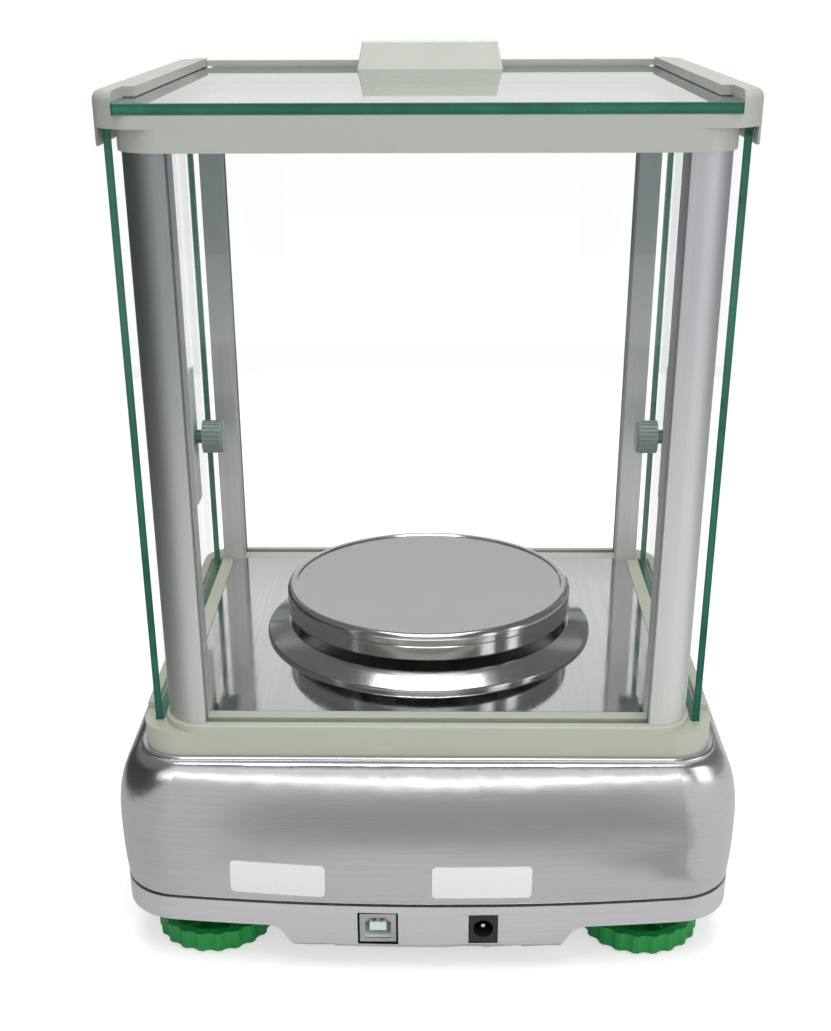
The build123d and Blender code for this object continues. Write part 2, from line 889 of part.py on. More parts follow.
def make_top_frame():
    frame = frame_block(frame_side, flange_z, ledge_z)
    frame += frame_strip(rail_side, frame_side, frame_front, frame_rear, ledge_z, rail_z)
    outer_edges = frame.edges().group_by(Axis.Z)[-1]
    rail_edges = [e for e in outer_edges if abs(e.center().X) > (rail_side + frame_side) / 2]
    frame = fillet(rail_edges, rail_round)
    frame += frame_block(frame_side, ledge_z, ledge_z + bar_height) \
        & box_between((-far, frame_front - past, 0), (far, frame_front + bar_depth, far))
    frame += frame_block(rim_side, top_z, flange_z)
    frame += frame_strip(outer_wall_side, frame_side, -far, far, flange_z - lip_drop, flange_z)
    frame += frame_block(frame_side, top_z, flange_z) & before_doors()
    frame += both_sides(box_between((overhang_side, frame_front + bar_depth / 2,
                                     rail_z - overhang_thickness),
                                    (rail_side + slot_gap, frame_rear - overhang_start, rail_z)))
    frame -= opening_block(top_z - past, ledge_z)
    for rear in (True, False):
        frame -= pane_block(rear, top_z - past, top_z + slot_depth, slot_gap / 2)
    for x, y in post_places():
        frame -= post_at(x, y, screw_radius + screw_fit, top_z - past, ledge_z)
        seat = ledge_z - screw_head_height - head_cover
        frame -= post_at(x, y, screw_head_radius + screw_fit, seat, ledge_z)
    return frame


def make_lid_bumpers():
    bumpers = []
    height = lid_front_gap - lid_gap
    y = frame_front + bar_depth
    for sx in (-1, 1):
        bumper = Rot(-90, 0, 0) * Pos(0, 0, height / 2) * Cylinder(bumper_radius, height)
        bumper = fillet(bumper.edges().group_by(Axis.Y)[-1], height * soft_share)
        bumpers.append(Pos(sx * bumper_side, y, ledge_z + bumper_radius + slot_gap) * bumper)
    return Compound(children=bumpers)


# Posts and panes

def make_post(rear, side):
    width = rear_post_width if rear else front_post_width
    turn = rear_post_round if rear else front_post_round
    near = frame_rear - post_setback if rear else frame_front + post_setback
    inward = -1 if rear else 1
    x = post_outer - width / 2
    y = near + inward * post_depth / 2
    section = Pos(x, y) * Rectangle(width, post_depth)
    corner = section.vertices().sort_by_distance((post_outer, near, 0))[0]
    section = fillet(corner, turn)
    others = section.vertices().sort_by_distance((post_outer - width, near, 0))[:1]
    section = fillet(others, post_edge)
    post = extrude(Pos(0, 0, rim_z) * section, chamber_height)
    post -= pane_block(rear, rim_z - past, top_z + past, slot_gap / 2)
    post -= post_at(post_screw_side, near + inward * (post_screw_inset - post_setback),
                    screw_radius, rim_z - past, top_z + past)
    return post if side > 0 else mirror(post, Plane.YZ)


def make_pane(rear):
    return pane_block(rear, rim_z - slot_depth + slot_gap, top_z + slot_depth - slot_gap)


def glass_edges(pane):
    return chamfer(pane.edges().filter_by(Axis.Z), glass_chamfer)


def make_door_glass(side):
    low = (door_outer - glass, door_front, groove_z + door_gap)
    high = (door_outer, door_rear, flange_z - door_gap)
    door = glass_edges(box_between(low, high))
    hole = Pos(door_outer, door_handle_axis, door_handle_z) * Rot(0, 90, 0) \
        * Cylinder(stud_hole_radius, far / 4)
    door -= hole
    return door if side > 0 else mirror(door, Plane.YZ)


def make_lid_glass():
    side = rail_side - lid_side_gap
    low = (-side, frame_front + bar_depth + lid_front_gap, ledge_z + lid_gap)
    high = (side, frame_rear, ledge_z + lid_gap + glass)
    return glass_edges(box_between(low, high))


def handle_shape():
    # Base in the XY plane, long in X, gripping face on the +Y side, standing out along +Z.
    base = Rectangle(handle_length, handle_base)
    tip_y = (handle_base - handle_tip) / 2
    tip = Pos(0, tip_y, handle_proud) * Rectangle(handle_tip_length, handle_tip)
    grip = loft([base, tip], ruled=True)
    return fillet(grip.edges().group_by(Axis.Z)[1:], handle_edge)


def make_door_handle(side):
    grip = handle_shape()
    stud_length = glass + knob_length / 2
    grip += Pos(0, 0, -stud_length / 2) * Cylinder(handle_stud_radius, stud_length)
    grip = Plane(origin=(door_outer, door_handle_axis, door_handle_z), x_dir=(0, 0, -1),
                 z_dir=(1, 0, 0)) * grip
    return grip if side > 0 else mirror(grip, Plane.YZ)


def make_door_knob(side):
    knob = Pos(0, 0, knob_length / 2) * Cylinder(knob_radius, knob_length)
    knob = fillet(knob.edges().group_by(Axis.Z)[-1], knob_dome)
    for index in range(knob_grooves):
        turn = 360 * index / knob_grooves
        knob -= Rot(0, 0, turn) * Pos(knob_radius, 0, knob_length / 2 - knob_dome) \
            * Cylinder(groove_radius, knob_length)
    knob -= Pos(0, 0, knob_length / 4) * Cylinder(handle_stud_radius, knob_length / 2)
    knob = Plane(origin=(door_outer - glass, door_handle_axis, door_handle_z), x_dir=(0, 1, 0),
                 z_dir=(-1, 0, 0)) * knob
    return knob if side > 0 else mirror(knob, Plane.YZ)


def make_lid_handle():
    y = frame_front + bar_depth + lid_front_gap + lid_handle_front + handle_base / 2
    return Pos(0, y, ledge_z + lid_gap + glass) * handle_shape()


# Floor plate, draft ring and pan

def make_floor_plate():
    plate = opening_block(rim_z - plate_thickness, rim_z, plate_gap)
    return plate - post_at(0, frame_y, stem_hole_radius, rim_z - 2 * plate_thickness, rim_z + past)


def revolve_profile(points):
    # Points are (radius, height) pairs around the pan's axis.
    face = make_face(Plane.XZ * Polyline(*points, close=True))
    return Pos(0, frame_y, 0) * revolve(face, Axis.Z)


def circles_at(shape, radius, z):
    circles = shape.edges().filter_by(GeomType.CIRCLE)
    return [e for e in circles if abs(e.radius - radius) < match_gap and abs(e.center().Z - z) < match_gap]


def make_draft_ring():
    edge = rim_z + ring_edge_height
    top = rim_z + ring_height
    points = [
        (ring_radius, rim_z),
        (ring_radius, edge),
        (ring_shoulder_radius, top),
        (ring_hub_radius, top),
        (ring_hub_radius, rim_z),
        (ring_hub_radius + ring_sheet, rim_z),
        (ring_hub_radius + ring_sheet, top - ring_sheet),
        (ring_shoulder_radius - ring_slope / 2, top - ring_sheet),
        (ring_radius - ring_sheet, edge - ring_slope),
        (ring_radius - ring_sheet, rim_z),
    ]
    ring = revolve_profile(points)
    corners = circles_at(ring, ring_shoulder_radius, top) + circles_at(ring, ring_radius, edge)
    return fillet(corners, ring_sheet)


def pan_seat_z():
    return pan_top_z - pan_dish - pan_sheet - pan_seat_gap


def make_weighing_pan():
    low = pan_top_z - pan_wall_height
    groove_top = pan_top_z - pan_groove_z + pan_groove
    groove_low = pan_top_z - pan_groove_z - pan_groove
    dish_radius = pan_radius - pan_rim_width
    inner = pan_radius - pan_sheet
    floor_top = pan_top_z - pan_dish
    points = [
        (0, floor_top),
        (dish_radius - pan_dish, floor_top),
        (dish_radius, pan_top_z),
        (pan_radius, pan_top_z),
        (pan_radius, groove_top),
        (pan_radius - pan_groove, pan_top_z - pan_groove_z),
        (pan_radius, groove_low),
        (pan_radius, low),
        (inner, low),
        (inner, floor_top - pan_sheet - pan_bevel),
        (inner - pan_bevel, floor_top - pan_sheet),
        (0, floor_top - pan_sheet),
    ]
    pan = revolve_profile(points)
    pan = fillet(circles_at(pan, pan_radius, pan_top_z), pan_rim_round)
    pan = fillet(circles_at(pan, pan_radius, low), pan_hem_round)
    socket_low = floor_top - pan_sheet - pan_socket_height
    pan += post_at(0, frame_y, pan_socket_radius, socket_low, floor_top - pan_sheet)
    pan -= post_at(0, frame_y, stem_neck_radius + slip, socket_low - past, pan_seat_z() + slip)
    return pan


# Control panel

def make_control_bezel():
    bezel = rounded_block(bezel_width, bezel_length, bezel_corner, 0, bezel_proud)
    bezel = fillet(bezel.edges().group_by(Axis.Z)[-1], bezel_proud * soft_share)
    inner_w = bezel_width - 2 * bezel_rim
    inner_l = bezel_length - 2 * bezel_rim
    bezel += rounded_block(inner_w, inner_l, bezel_corner - bezel_rim, -bezel_depth, bezel_proud / 2)
    hollow_top = bezel_proud - bezel_plate
    wall = bezel_rim / 2
    bezel -= rounded_block(inner_w - 2 * wall, inner_l - 2 * wall, bezel_corner - bezel_rim,
                           -bezel_depth - past, hollow_top)
    bezel -= rounded_block(window_width, window_length, window_corner, bezel_proud - window_thickness,
                           bezel_proud + past, y=window_up)
    bezel -= rounded_block(window_width - 2 * window_ledge, window_length - 2 * window_ledge,
                           window_corner, -bezel_depth, bezel_proud, y=window_up)
    for x in key_places():
        bezel -= rounded_block(key_width + 2 * key_gap, key_length + 2 * key_gap, key_corner + key_gap,
                               -bezel_depth, bezel_proud + past, x=x, y=key_down)
    return panel_place() * bezel


def key_places():
    middle = (key_count - 1) / 2
    return [(index - middle) * key_pitch for index in range(key_count)]


def make_display_window():
    pane = rounded_block(window_width - 2 * window_fit, window_length - 2 * window_fit,
                         window_corner - window_fit, bezel_proud - window_thickness, bezel_proud,
                         y=window_up)
    return panel_place() * pane


def make_display_module():
    top = bezel_proud - bezel_plate - slip
    low = -key_board_depth
    width = window_width - 2 * window_ledge + 2 * module_margin
    length = window_length - 2 * window_ledge + 2 * module_margin
    module = rounded_block(width, length, module_corner, top - module_height, top, y=window_up)
    module += rounded_block(window_width - 2 * module_core_side, window_length - 2 * module_core_end,
                            module_corner, low, top - slip, y=window_up)
    return panel_place() * module


def make_key(index):
    x = key_places()[index]
    under = bezel_proud - bezel_plate - slip
    cap = rounded_block(key_width, key_length, key_corner, under - key_flange_height,
                        bezel_proud + key_proud, x=x, y=key_down)
    cap = fillet(cap.edges().group_by(Axis.Z)[-1], key_proud * soft_share)
    cap += rounded_block(key_width + 2 * key_gap + 2 * key_flange,
                         key_length + 2 * key_gap + 2 * key_flange,
                         key_corner, under - key_flange_height, under, x=x, y=key_down)
    return panel_place() * cap


def make_key_board():
    top = -key_board_depth
    width = bezel_width - 2 * bezel_rim - 2 * key_board_margin
    length = bezel_length - 2 * bezel_rim - key_board_margin
    board = rounded_block(width, length, key_board_corner, top - board_thickness, top)
    contact = bezel_proud - bezel_plate - slip - key_flange_height - key_travel - switch_gap
    switch_top = contact - plunger_height
    for x in key_places():
        board += rounded_block(switch_size, switch_size, module_corner, top, switch_top, x, key_down)
        board += post_at(x, key_down, plunger_radius, switch_top, contact)
    for sx in (-1, 1):
        for sy in (-1, 1):
            x = sx * (width / 2 - spacer_inset)
            y = sy * (length / 2 - spacer_inset)
            board += post_at(x, y, spacer_radius, top, bezel_proud - bezel_plate)
    return panel_place() * board


# Bubble level

def make_level_housing():
    y = frame_front - level_gap
    low = cover_top_z - level_depth
    housing = post_at(0, y, level_radius, low, cover_top_z)
    housing += post_at(0, y, level_flange_radius, cover_top_z, cover_top_z + level_flange)
    housing = fillet(housing.edges().group_by(Axis.Z)[-1], level_flange / 2)
    return housing - post_at(0, y, vial_radius, low + level_floor, far / 2)


def make_level_vial():
    y = frame_front - level_gap
    top = cover_top_z + level_flange + vial_proud
    vial = post_at(0, y, vial_radius, cover_top_z - level_depth + level_floor, top)
    return fillet(vial.edges().group_by(Axis.Z)[-1], vial_proud)


# Feet

def make_foot_wheel(x, y):
    height = wheel_top_z - wheel_bottom_z
    middle = (wheel_top_z + wheel_bottom_z) / 2
    wheel = Pos(0, 0, middle) * Cylinder(wheel_radius, height)
    notch = wheel_radius + scallop_radius - scallop_depth
    for index in range(scallop_count):
        turn = 360 * index / scallop_count
        wheel -= Rot(0, 0, turn) * Pos(notch, 0, middle) * Cylinder(scallop_radius, height * 2)
    cup = wheel_radius - scallop_depth - wheel_rim
    wheel -= post_at(0, 0, cup, wheel_floor, wheel_top_z + past)
    wheel += post_at(0, 0, hub_radius, wheel_floor - rib_root, hub_top_z)
    for index in range(rib_count):
        turn = 360 * index / rib_count
        rib = box_between((hub_radius - rib_root, -rib_wall / 2, wheel_floor - rib_root),
                          (cup + rib_root, rib_wall / 2, wheel_top_z - rib_drop))
        wheel += Rot(0, 0, turn) * rib
    recess = foot_pad_height + slip
    wheel -= post_at(0, 0, foot_pad_radius + slip, -past, recess)
    wheel -= post_at(0, 0, stud_radius, -past, hub_top_z + past)
    return Pos(x, y, 0) * wheel


def stud_low_z():
    return foot_pad_height + slip


def make_foot_stud(x, y):
    stud = post_at(0, 0, stud_radius, stud_low_z(), stud_top_z)
    stud = chamfer(stud.edges().group_by(Axis.Z)[-1], stud_chamfer)
    stud -= post_at(0, 0, spigot_radius + slip, 0, foot_pad_height + spigot_height + slip)
    return Pos(x, y, 0) * stud


def make_foot_pad(x, y):
    pad = post_at(0, 0, foot_pad_radius, 0, foot_pad_height)
    pad += post_at(0, 0, spigot_radius, 0, foot_pad_height + spigot_height)
    return Pos(x, y, 0) * pad


# Every node

def save(name, shape):
    shape.label = name
    export_step(shape, "parts/" + name + ".step")


def save_case():
    save("upper_cover", make_upper_cover())
    save("lower_tray", make_lower_tray())
    skin = pillow(-label_thickness, seam_z) - pillow(0, seam_z)
    left_z = seam_z + left_label_rise
    right_z = seam_z + right_label_rise
    save("rear_label_left", label(left_label_x, left_z, left_label_width, left_label_height, 0, skin))
    save("rear_label_right", label(right_label_x, right_z, right_label_width, right_label_height,
                                   -label_tilt, skin))


def save_inside():
    save("chassis_plate", make_chassis_plate())
    save("support_pillars", make_support_pillars())
    save("chassis_screws", make_chassis_screws())
    save("post_screws", make_post_screws())
    save("load_cell", make_load_cell())
    save("load_cell_screws", make_load_cell_screws())
    save("pan_carrier", make_pan_carrier())
    save("load_cell_lead", make_load_cell_lead())
    save("main_board", make_main_board())
    save("board_screws", make_board_screws())
    save("usb_shell", make_usb_shell())
    save("usb_insert", make_usb_insert())
    save("dc_jack", make_dc_jack())
    save("dc_jack_pin", make_dc_jack_pin())


def save_shield():
    save("bottom_frame", make_bottom_frame())
    save("top_frame", make_top_frame())
    save("lid_bumpers", make_lid_bumpers())
    save("floor_plate", make_floor_plate())
    save("rear_glass", make_pane(True))
    save("front_glass", make_pane(False))
    save("lid_glass", make_lid_glass())
    save("lid_handle", make_lid_handle())
    for side, word in ((-1, "left"), (1, "right")):
        save("rear_post_" + word, make_post(True, side))
        save("front_post_" + word, make_post(False, side))
        save(word + "_door_glass", make_door_glass(side))
        save(word + "_door_handle", make_door_handle(side))
        save(word + "_door_knob", make_door_knob(side))
    save("draft_ring", make_draft_ring())
    save("weighing_pan", make_weighing_pan())


def save_panel():
    save("control_bezel", make_control_bezel())
    save("display_window", make_display_window())
    save("display_module", make_display_module())
    save("key_board", make_key_board())
    for index, name in enumerate(("power_key", "mode_key", "print_key", "tare_key")):
        save(name, make_key(index))
    save("level_housing", make_level_housing())
    save("level_vial", make_level_vial())


def save_feet():
    for sy, row in ((-1, "front"), (1, "rear")):
        for sx, word in ((-1, "left"), (1, "right")):
            place = row + "_" + word + "_foot"
            x = sx * foot_side
            y = sy * foot_end
            save(place + "_wheel", make_foot_wheel(x, y))
            save(place + "_stud", make_foot_stud(x, y))
            save(place + "_pad", make_foot_pad(x, y))


os.makedirs("parts", exist_ok=True)
save_feet()
save_inside()
save_shield()
save_panel()
save_case()
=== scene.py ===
import json
import math

import bmesh
import bpy
from mathutils import Matrix, Vector


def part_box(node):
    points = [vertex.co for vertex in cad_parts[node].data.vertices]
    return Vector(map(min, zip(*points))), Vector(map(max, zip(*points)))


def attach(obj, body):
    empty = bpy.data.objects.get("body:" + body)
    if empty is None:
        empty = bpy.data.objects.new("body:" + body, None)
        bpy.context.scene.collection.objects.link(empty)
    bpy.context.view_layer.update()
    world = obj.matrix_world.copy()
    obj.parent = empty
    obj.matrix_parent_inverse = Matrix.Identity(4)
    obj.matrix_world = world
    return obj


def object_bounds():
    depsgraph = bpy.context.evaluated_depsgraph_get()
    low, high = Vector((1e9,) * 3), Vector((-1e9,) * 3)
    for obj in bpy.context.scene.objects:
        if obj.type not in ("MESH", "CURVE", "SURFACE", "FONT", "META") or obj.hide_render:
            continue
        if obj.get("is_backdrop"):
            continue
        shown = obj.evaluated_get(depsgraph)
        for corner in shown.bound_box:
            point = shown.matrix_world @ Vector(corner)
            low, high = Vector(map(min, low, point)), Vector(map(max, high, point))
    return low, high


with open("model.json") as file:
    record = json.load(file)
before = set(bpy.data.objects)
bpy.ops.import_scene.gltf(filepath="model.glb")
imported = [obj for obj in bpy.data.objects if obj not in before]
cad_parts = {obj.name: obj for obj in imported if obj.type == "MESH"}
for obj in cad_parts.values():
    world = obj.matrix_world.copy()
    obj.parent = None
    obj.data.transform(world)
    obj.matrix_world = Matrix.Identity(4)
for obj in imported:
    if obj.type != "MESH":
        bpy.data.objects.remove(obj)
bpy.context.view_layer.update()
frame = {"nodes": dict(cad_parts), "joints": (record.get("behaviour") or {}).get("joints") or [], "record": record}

nodes = frame["nodes"]
mm = 0.001

# Camera, from the fit to the photograph
camera_place = Vector((-0.00347, 0.54968, 0.30124))
camera_forward = Vector((0.015064, -0.895167, -0.445476))
camera_roll = -0.00412
focal_pixels = 1481.58
image_height = 1031.0
axis_drop = 189.5
sensor = 36.0

# Lamps: power in watts, place, aim, width and height in metres, and whether metal mirrors them
lamps = {
    "overhead": (11.8, (0.0, 0.22, 1.35), (0, 0.1, 0), (0.75, 1.25), True),
    "softbox": (4.0, (-0.38, 1.45, 0.78), (-0.1, 0.1, 0.1), (1.1, 1.2), False),
    "strip": (1.3, (0.05, 1.42, -0.035), (0.05, 0, -0.035), (1.6, 0.1), True),
    "side": (3.9, (-1.1, 0.72, 0.27), (0, 0.1, 0.27), (0.75, 0.98), True),
    "front": (2.4, (-0.5, -1.5, 0.8), (0, 0, 0.1), (1.2, 1.2), False),
}

# The room: what lights matt surfaces, and the tones that metal mirrors
world_diffuse = 0.44
room_white = (0.95, 0.95, 0.96)
room_dark = 0.06
room_grey = 0.30
ceiling_dark = 0.20
ahead_strength = 0.3

# The floor, and the grey card on it that only metal mirrors
floor_reach = 0.7
floor_sides = 64
floor_grey = 0.66
floor_lift = 0.55
card_grey = 0.33
card_bend = 5.5
side_shade = 0.22

# Glass: share reflected square on, and at a glancing angle
glass_sheen = 0.006
glass_glance = {"lid_glass": 1.0, "rear_glass": 0.3, "front_glass": 0.3, "left_door_glass": 0.32,
                "right_door_glass": 0.32}

# The pan's axis, which the spun pieces share
pan_low, pan_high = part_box("weighing_pan")
pan_axis = Vector(((pan_low.x + pan_high.x) / 2, (pan_low.y + pan_high.y) / 2, 0))


# Material helpers

def add(tree, kind, inputs=None, **settings):
    made = tree.nodes.new(kind)
    for key, value in settings.items():
        setattr(made, key, value)
    for key, value in (inputs or {}).items():
        if isinstance(value, bpy.types.NodeSocket):
            tree.links.new(value, made.inputs[key])
        else:
            made.inputs[key].default_value = value
    return made


def maths(tree, operation, a, b=0.0):
    return add(tree, "ShaderNodeMath", {0: a, 1: b}, operation=operation).outputs[0]


def spread(tree, value, low, high, out_low, out_high, smooth=False):
    kind = "SMOOTHSTEP" if smooth else "LINEAR"
    return add(tree, "ShaderNodeMapRange", {"Value": value, "From Min": low, "From Max": high,
                                            "To Min": out_low, "To Max": out_high},
               interpolation_type=kind).outputs["Result"]


def band(tree, value, rise, fall, smooth=False):
    # One inside a band of the value, fading to nought over the rise and the fall.
    return maths(tree, "MULTIPLY", spread(tree, value, *rise, 0, 1, smooth),
                 spread(tree, value, *fall, 1, 0, smooth))


def blend_colour(tree, factor, first, second):
    made = add(tree, "ShaderNodeMix", data_type="RGBA")
    for index, value in ((0, factor), (6, first), (7, second)):
        if isinstance(value, bpy.types.NodeSocket):
            tree.links.new(value, made.inputs[index])
        else:
            made.inputs[index].default_value = value
    return made.outputs[2]


def object_coords(tree):
    return add(tree, "ShaderNodeTexCoord").outputs["Object"]


def scaled(tree, vector, scale):
    return add(tree, "ShaderNodeMapping", {"Vector": vector, "Scale": scale}).outputs["Vector"]


def noise(tree, vector, scale=1.0, detail=3.0, rough=0.55):
    return add(tree, "ShaderNodeTexNoise", {"Vector": vector, "Scale": scale, "Detail": detail,
                                            "Roughness": rough}).outputs["Fac"]


def bumped(tree, height, strength):
    return add(tree, "ShaderNodeBump", {"Height": height, "Strength": strength,
                                        "Distance": 0.2 * mm}).outputs["Normal"]


def facing(tree, axis):
    # How squarely the surface faces along one axis, from 0 to 1.
    normal = add(tree, "ShaderNodeNewGeometry").outputs["Normal"]
    parts = add(tree, "ShaderNodeSeparateXYZ", {"Vector": normal})
    return maths(tree, "ABSOLUTE", parts.outputs[axis])


def rgba(colour):
    return (*colour, 1.0)


def grey(level):
    return rgba((level, level, level))


def shaded(colour, factor):
    return tuple(min(1.0, c * factor) for c in colour)


def mottled(tree, pattern, darker, lighter):
    # A colour between two, by the middle part of a noise.
    return blend_colour(tree, spread(tree, pattern, 0.3, 0.7, 0, 1), rgba(darker), rgba(lighter))


def uneven(tree, pattern, low, high):
    # A level between two, by the same part.
    return spread(tree, pattern, 0.3, 0.7, low, high)


def material(name):
    made = bpy.data.materials.new(name)
    made.use_nodes = True
    tree = made.node_tree
    return made, tree, tree.nodes["Principled BSDF"]


def wire(tree, shader, **inputs):
    names = {"colour": "Base Color", "rough": "Roughness", "normal": "Normal", "tangent": "Tangent"}
    for key, value in inputs.items():
        tree.links.new(value, shader.inputs[names[key]])


def moulded(name, colour, rough=0.42, grain=1800.0, bump=0.06, mottle=0.035, coat=0.0, specular=0.5):
    # Moulded plastic: fine spark texture, faint cloudiness and uneven gloss.
    made, tree, shader = material(name)
    where = object_coords(tree)
    cloud = noise(tree, where, 38.0, 4.0)
    fine = noise(tree, where, grain, 2.0)
    wire(tree, shader,
         colour=mottled(tree, cloud, shaded(colour, 1 - mottle), shaded(colour, 1 + mottle)),
         rough=uneven(tree, cloud, rough - 0.05, rough + 0.05),
         normal=bumped(tree, fine, bump))
    shader.inputs["Coat Weight"].default_value = coat
    shader.inputs["Specular IOR Level"].default_value = specular
    return made


def brushed(name, colour, rough, contrast, bump, top=(16.0, 2400.0, 16.0), anisotropic=0.55):
    # Sheet metal with a grain: streaks along one direction on the walls and another on the top.
    made, tree, shader = material(name)
    where = object_coords(tree)
    wall = noise(tree, scaled(tree, where, (16.0, 16.0, 2400.0)), 1.0, 5.0, 0.62)
    flat = noise(tree, scaled(tree, where, top), 1.0, 5.0, 0.62)
    up = spread(tree, facing(tree, "Z"), 0.6, 0.85, 0, 1)
    streak = add(tree, "ShaderNodeMix", {0: up, 2: wall, 3: flat}).outputs[0]
    cloud = noise(tree, where, 22.0, 3.0)
    worn = maths(tree, "ADD", maths(tree, "MULTIPLY", streak, 0.75), maths(tree, "MULTIPLY", cloud, 0.25))
    wire(tree, shader,
         colour=mottled(tree, worn, shaded(colour, 1 - contrast), shaded(colour, 1 + contrast)),
         rough=uneven(tree, worn, rough + 0.08, rough - 0.06),
         normal=bumped(tree, streak, bump),
         tangent=add(tree, "ShaderNodeTangent", direction_type="RADIAL", axis="Z").outputs[0])
    shader.inputs["Metallic"].default_value = 1.0
    shader.inputs["Anisotropic"].default_value = anisotropic
    return made


def spun(name, colour, rough, contrast, bump):
    # Metal turned round the pan's axis: streaks run in circles.
    rings = 1500.0
    made, tree, shader = material(name)
    where = add(tree, "ShaderNodeVectorMath", {0: object_coords(tree), 1: pan_axis}, operation="SUBTRACT")
    parts = add(tree, "ShaderNodeSeparateXYZ", {"Vector": where.outputs[0]})
    flat = add(tree, "ShaderNodeCombineXYZ", {"X": parts.outputs["X"], "Y": parts.outputs["Y"]})
    reach = add(tree, "ShaderNodeVectorMath", {0: flat.outputs[0]}, operation="LENGTH").outputs["Value"]
    turn = maths(tree, "ARCTAN2", parts.outputs["Y"], parts.outputs["X"])
    around = add(tree, "ShaderNodeCombineXYZ", {"X": maths(tree, "MULTIPLY", reach, rings),
                                                "Y": maths(tree, "MULTIPLY", turn, 2.5),
                                                "Z": maths(tree, "MULTIPLY", parts.outputs["Z"], rings)})
    streak = noise(tree, around.outputs[0], 1.0, 4.0, 0.6)
    cloud = noise(tree, where.outputs[0], 30.0, 3.0)
    worn = maths(tree, "ADD", maths(tree, "MULTIPLY", streak, 0.7), maths(tree, "MULTIPLY", cloud, 0.3))
    wire(tree, shader,
         colour=mottled(tree, worn, shaded(colour, 1 - contrast), shaded(colour, 1 + contrast)),
         rough=uneven(tree, worn, rough * 1.2, rough * 0.85),
         normal=bumped(tree, streak, bump))
    shader.inputs["Metallic"].default_value = 1.0
    return made


def satin(name, upper, lower):
    # Anodised posts: matt and drawn along their length, with painted shade that makes them darker above 240 mm
    # than below 100 mm.
    made, tree, shader = material(name)
    where = object_coords(tree)
    height = add(tree, "ShaderNodeSeparateXYZ", {"Vector": where}).outputs["Z"]
    drawn = noise(tree, scaled(tree, where, (900.0, 900.0, 5.0)), 1.0, 5.0, 0.62)
    # Painted shade: the colour darkens from the lower tone below 100 mm to the upper tone above 240 mm.
    rise = spread(tree, height, 100 * mm, 240 * mm, 0, 1, smooth=True)
    shaded_tone = blend_colour(tree, rise, rgba(lower), rgba(upper))
    shaded_tone = blend_colour(tree, uneven(tree, drawn, 0, 0.12), shaded_tone, rgba(shaded(upper, 0.8)))
    wire(tree, shader, colour=shaded_tone, rough=uneven(tree, drawn, 0.52, 0.60),
         normal=bumped(tree, drawn, 0.03))
    shader.inputs["Metallic"].default_value = 1.0
    return made


def plain_metal(name, colour, rough):
    made, tree, shader = material(name)
    where = object_coords(tree)
    cloud = noise(tree, where, 260.0, 4.0)
    wire(tree, shader,
         colour=mottled(tree, cloud, shaded(colour, 0.9), shaded(colour, 1.08)),
         rough=uneven(tree, cloud, rough - 0.06, rough + 0.08),
         normal=bumped(tree, noise(tree, where, 1500.0, 2.0), 0.05))
    shader.inputs["Metallic"].default_value = 1.0
    return made


def pane(name, axis, low, high, glance):
    # Clear faces that reflect more at a glancing angle, and green polished edges with painted reflections: dark
    # spots, painted shade towards the faces and a painted highlight at the corners.
    made, tree, shader = material(name)
    where = object_coords(tree)
    parts = add(tree, "ShaderNodeSeparateXYZ", {"Vector": where})
    across = spread(tree, parts.outputs[axis], low, high, -1, 1)
    rim = maths(tree, "ABSOLUTE", across)
    along = noise(tree, scaled(tree, where, (34.0, 34.0, 34.0)), 1.0, 4.0, 0.7)
    painted_dark_spots = noise(tree, where, 95.0, 2.0)
    edge = blend_colour(tree, spread(tree, along, 0.35, 0.65, 0, 1), rgba((0.010, 0.100, 0.064)),
                        rgba((0.022, 0.175, 0.115)))
    # Painted reflection: dark spots along the edge.
    edge = blend_colour(tree, spread(tree, painted_dark_spots, 0.64, 0.70, 0, 0.8), edge, rgba((0.003, 0.022, 0.018)))
    # Painted shade: the edge darkens towards the faces.
    edge = blend_colour(tree, spread(tree, rim, 0.25, 0.75, 0, 0.55), edge, rgba((0.006, 0.050, 0.036)))
    # Painted highlight: a pale line where the edge meets the faces.
    edge = blend_colour(tree, spread(tree, rim, 0.80, 0.88, 0, 0.7), edge, rgba((0.10, 0.30, 0.23)))
    wire(tree, shader, colour=edge, rough=uneven(tree, along, 0.12, 0.3))
    shader.inputs["IOR"].default_value = 1.52
    shader.inputs["Specular IOR Level"].default_value = 0.25
    clear = add(tree, "ShaderNodeBsdfTransparent", {"Color": (0.995, 1.0, 0.998, 1)})
    gloss = add(tree, "ShaderNodeBsdfGlossy", {"Color": (0.98, 0.985, 0.98, 1), "Roughness": 0.012})
    turned = add(tree, "ShaderNodeLayerWeight", {"Blend": 0.5}).outputs["Facing"]
    sheen = spread(tree, maths(tree, "POWER", turned, 5.0), 0, 1, glass_sheen, glance)
    face = add(tree, "ShaderNodeMixShader", {0: sheen, 1: clear.outputs[0], 2: gloss.outputs[0]})
    on_face = spread(tree, facing(tree, axis), 0.6, 0.62, 0, 1)
    both = add(tree, "ShaderNodeMixShader", {0: on_face, 1: shader.outputs[0], 2: face.outputs[0]})
    tree.links.new(both.outputs[0], tree.nodes["Material Output"].inputs["Surface"])
    return made


def paper(name, colour):
    made, tree, shader = material(name)
    where = object_coords(tree)
    fibre = noise(tree, where, 900.0, 4.0)
    wire(tree, shader, colour=mottled(tree, fibre, shaded(colour, 0.97), colour),
         rough=uneven(tree, fibre, 0.3, 0.42), normal=bumped(tree, fibre, 0.04))
    shader.inputs["Coat Weight"].default_value = 0.3
    return made


